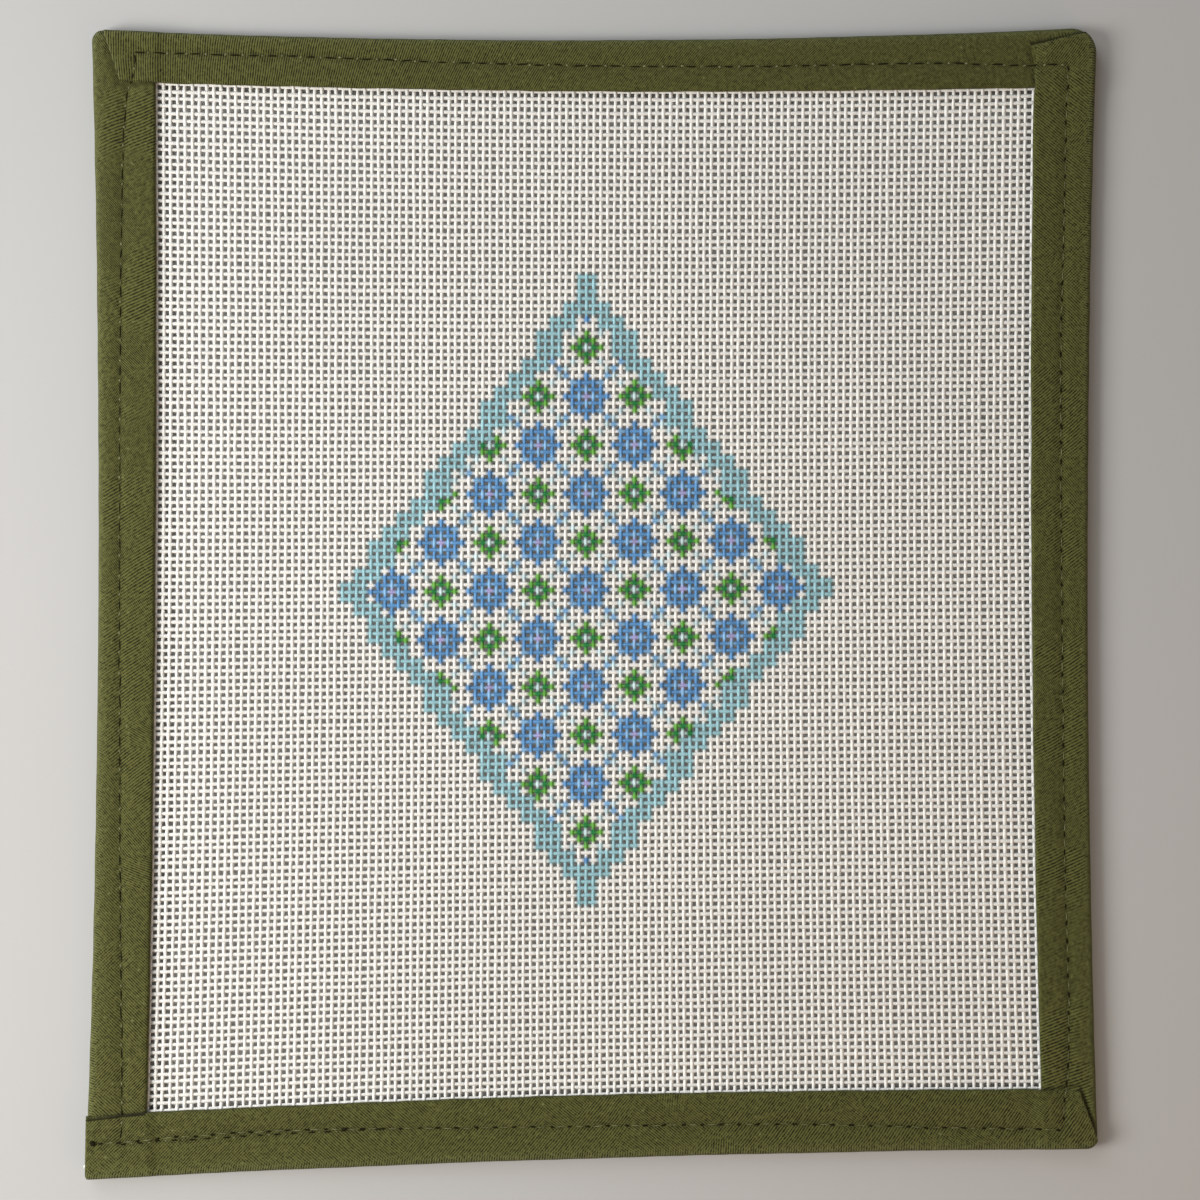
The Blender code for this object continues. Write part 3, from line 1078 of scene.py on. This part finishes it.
# %% Knot and frayed thread
def bent_thread(name, places, radius, material):
    """A tapered tube along places in millimetres, its last third drawn to a point."""
    known = np.array(places, float)
    length = np.concatenate([[0], np.cumsum(np.linalg.norm(np.diff(known, axis=0), axis=1))])
    t = np.linspace(0, 1, 14)
    line = np.stack([np.interp(t * length[-1], length, known[:, axis]) for axis in range(3)], axis=-1)
    line[1:-1] = (line[:-2] + 2 * line[1:-1] + line[2:]) / 4
    way = np.gradient(line, axis=0)
    way /= np.linalg.norm(way, axis=1, keepdims=True)
    side = np.cross(way, (0.0, 0.0, 1.0))
    side /= np.linalg.norm(side, axis=1, keepdims=True)
    up = np.cross(side, way)
    thick = radius * np.minimum(1, (1.02 - t) * 3)[:, None, None]
    angle = (2 * np.pi * np.arange(8) / 8)[None, :, None]
    points = line[:, None] + thick * (side[:, None] * np.cos(angle) + up[:, None] * np.sin(angle))
    piece = add_piece(name, points * MM, tube_quads(1, 14, 8)[:, ::-1], material,
                      [cap[::-1] for cap in tube_caps(1, 14, 8)])
    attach(piece, "root")
    return piece


knot_height = heights_on_tape(np.array([[-99.6, -107.3]]), 1)[0] / MM
# The knot wears the near-black finish of the needle holes' painted shade
knot = bent_thread("seam_knot", [(x - 99.4, y - 107.5, z + knot_height) for x, y, z in
                                 ((-0.5, 0.1, -0.1), (0.0, 0.4, 0.2), (0.4, 0.0, 0.22),
                                  (0.0, -0.4, 0.18), (-0.4, -0.1, 0.15), (0.2, 0.1, 0.1))],
                   0.24, hole_shade_finish)
frayed = bent_thread("frayed_thread", ((-100.2, -112.6, 1.6), (-100.9, -112.5, 1.8),
                                       (-101.65, -112.7, 1.6), (-101.8, -113.3, 0.9),
                                       (-101.5, -113.9, 0.5)),
                     0.24, canvas_finish)
add_vertex_colour(frayed, "paint", np.broadcast_to(white, (len(frayed.data.vertices), 3)))
print("loose ends", knot.name, frayed.name)

# %% [markdown]

# %% [markdown]
# ## Floor, light and camera
#
# The panel lies on a plain pale floor. A soft light stands close by at the left, a little below the
# middle, so that the cloth is brightest there and every fold throws its shadow to the upper right. A
# cool fill at the upper left and a weak warm one at the lower right turn the white threads from cool
# to warm across the panel. The camera looks straight down.

# %% Floor
floor_finish, tree, shader = new_finish("floor", 0.9, specular=0.1)
place = object_place(tree)
tree.links.new(blend_colours(tree, noise(tree, place, 6), (0.46, 0.455, 0.45, 1), (0.49, 0.485, 0.48, 1)),
               shader.inputs["Base Color"])
FLOOR_HALF = 1.5
corners = [(x * FLOOR_HALF, y * FLOOR_HALF, 0) for x, y in ((-1, -1), (1, -1), (1, 1), (-1, 1))]
floor = add_piece("floor", corners, [(0, 1, 2, 3)], floor_finish)


# %% Lights and world
def soft_light(name, place, size, power, colour):
    """A square area light aimed at the middle of the panel."""
    data = bpy.data.lights.new(name, "AREA")
    data.size = size
    data.energy = power
    data.color = colour
    light = bpy.data.objects.new(name, data)
    light.location = place
    light.rotation_euler = (Vector((0, 0, 0)) - Vector(place)).to_track_quat("-Z", "Y").to_euler()
    bpy.context.scene.collection.objects.link(light)


STUDIO_LIGHTS = (
    # name,       place in metres,      size, power in watts, colour
    ("side_light", (-0.42, -0.08, 0.31), 0.24, 2.95, (1.0, 0.99, 0.96)),
    ("cool_fill", (-0.35, 0.50, 0.40), 0.5, 2.2, (0.92, 0.97, 1.0)),
    ("warm_fill", (0.40, -0.42, 0.30), 0.4, 0.9, (1.0, 0.66, 0.38)),
)
for light_row in STUDIO_LIGHTS:
    soft_light(*light_row)
world = bpy.data.worlds.new("studio")
world.use_nodes = True
world.node_tree.nodes["Background"].inputs["Color"].default_value = (1.0, 0.98, 0.95, 1.0)
world.node_tree.nodes["Background"].inputs["Strength"].default_value = 0.20
bpy.context.scene.world = world
bpy.context.scene.view_settings.view_transform = "Standard"

# %% Camera
VIEW_WIDTH = 0.240              # of the floor that the picture takes in
LENS = 50.0
SENSOR = 36.0
camera_data = bpy.data.cameras.new("camera")
camera_data.lens = LENS
camera_data.sensor_width = SENSOR
camera_data.clip_start = 0.01
camera = bpy.data.objects.new("camera", camera_data)
camera.location = (1.7 * MM, 0.8 * MM, VIEW_WIDTH * LENS / SENSOR + canvas_high[2])
bpy.context.scene.collection.objects.link(camera)
bpy.context.scene.camera = camera
print("camera", [round(value, 4) for value in camera.location])
